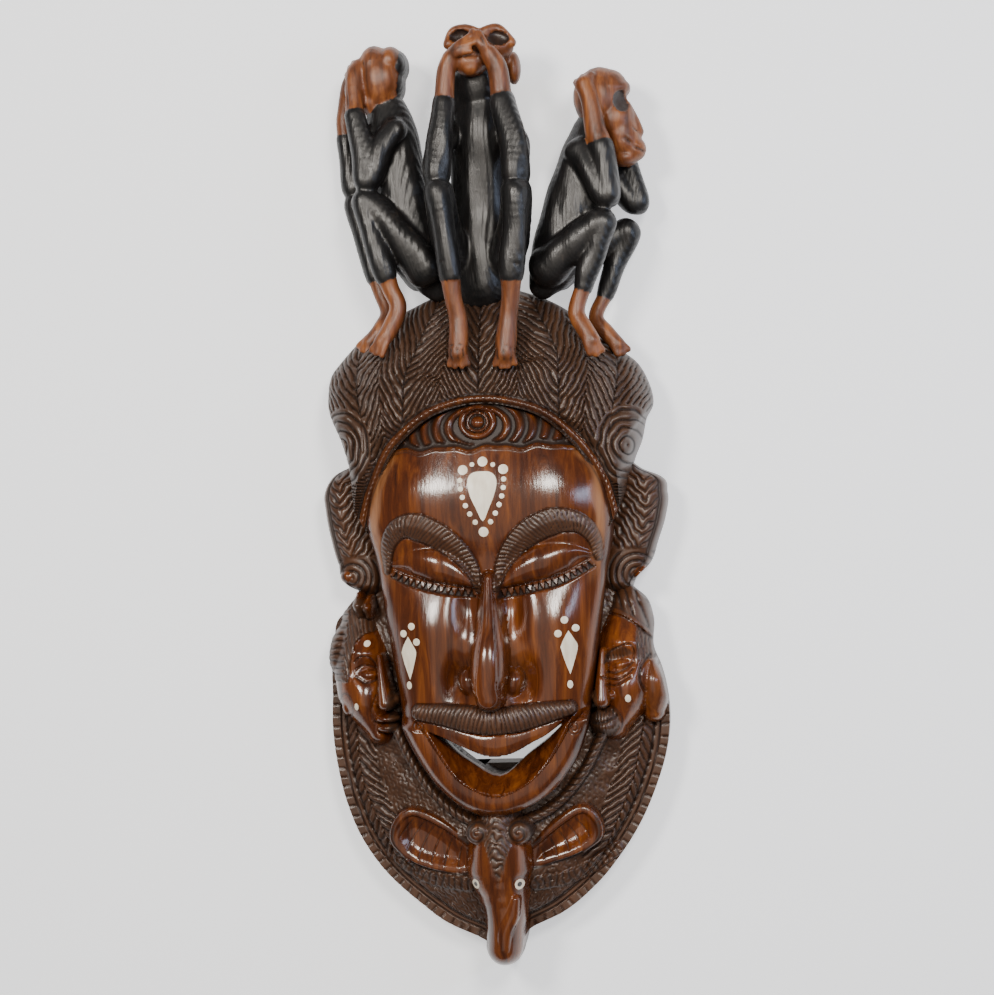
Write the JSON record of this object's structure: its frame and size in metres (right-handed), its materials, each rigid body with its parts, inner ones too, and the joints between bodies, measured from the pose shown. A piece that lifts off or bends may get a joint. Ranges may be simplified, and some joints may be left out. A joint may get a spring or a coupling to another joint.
{
  "type": "carved wall mask",
  "caption": "Long carved wooden face mask with inlaid bone drops, a hollow back, an elephant head under the chin and monkeys squatting on its crown.",
  "frame": {"origin": "under the middle of the bounding box, on the surface the mask lies on", "axes": "+Z out of the face, +Y up the mask towards the monkeys, +X to the viewer's right"},
  "size_m": [0.2838, 0.7622, 0.1255],
  "materials": {
    "carved_wood": "polished on the face, stained dark in the carving",
    "bone": "polished bone",
    "dark_pupil": "dark polished"
  },
  "bodies": {
    "root": {"mask": "carved_wood", "brow_drop": "bone", "brow_dot_top": "bone", "brow_dot_left": "bone", "brow_dot_right": "bone", "brow_dot_foot": "bone", "brow_bead_left_1": "bone", "brow_bead_right_1": "bone", "brow_bead_left_2": "bone", "brow_bead_right_2": "bone", "brow_bead_left_3": "bone", "brow_bead_right_3": "bone", "brow_bead_left_4": "bone", "brow_bead_right_4": "bone", "brow_bead_left_5": "bone", "brow_bead_right_5": "bone", "brow_bead_left_6": "bone", "brow_bead_right_6": "bone", "brow_bead_over_left": "bone", "brow_bead_over_right": "bone", "cheek_kite_left": "bone", "cheek_dot_left_1": "bone", "cheek_dot_left_2": "bone", "cheek_dot_left_3": "bone", "cheek_drop_left": "bone", "cheek_kite_right": "bone", "cheek_dot_right_1": "bone", "cheek_dot_right_2": "bone", "cheek_dot_right_3": "bone", "cheek_drop_right": "bone", "side_left_brow_dot": "bone", "side_left_cheek_dot": "bone", "side_right_cheek_dot": "bone", "elephant_eye_left": "bone", "elephant_eye_left_pupil": "dark_pupil", "elephant_eye_right": "bone", "elephant_eye_right_pupil": "dark_pupil"}
  },
  "joints": []
}
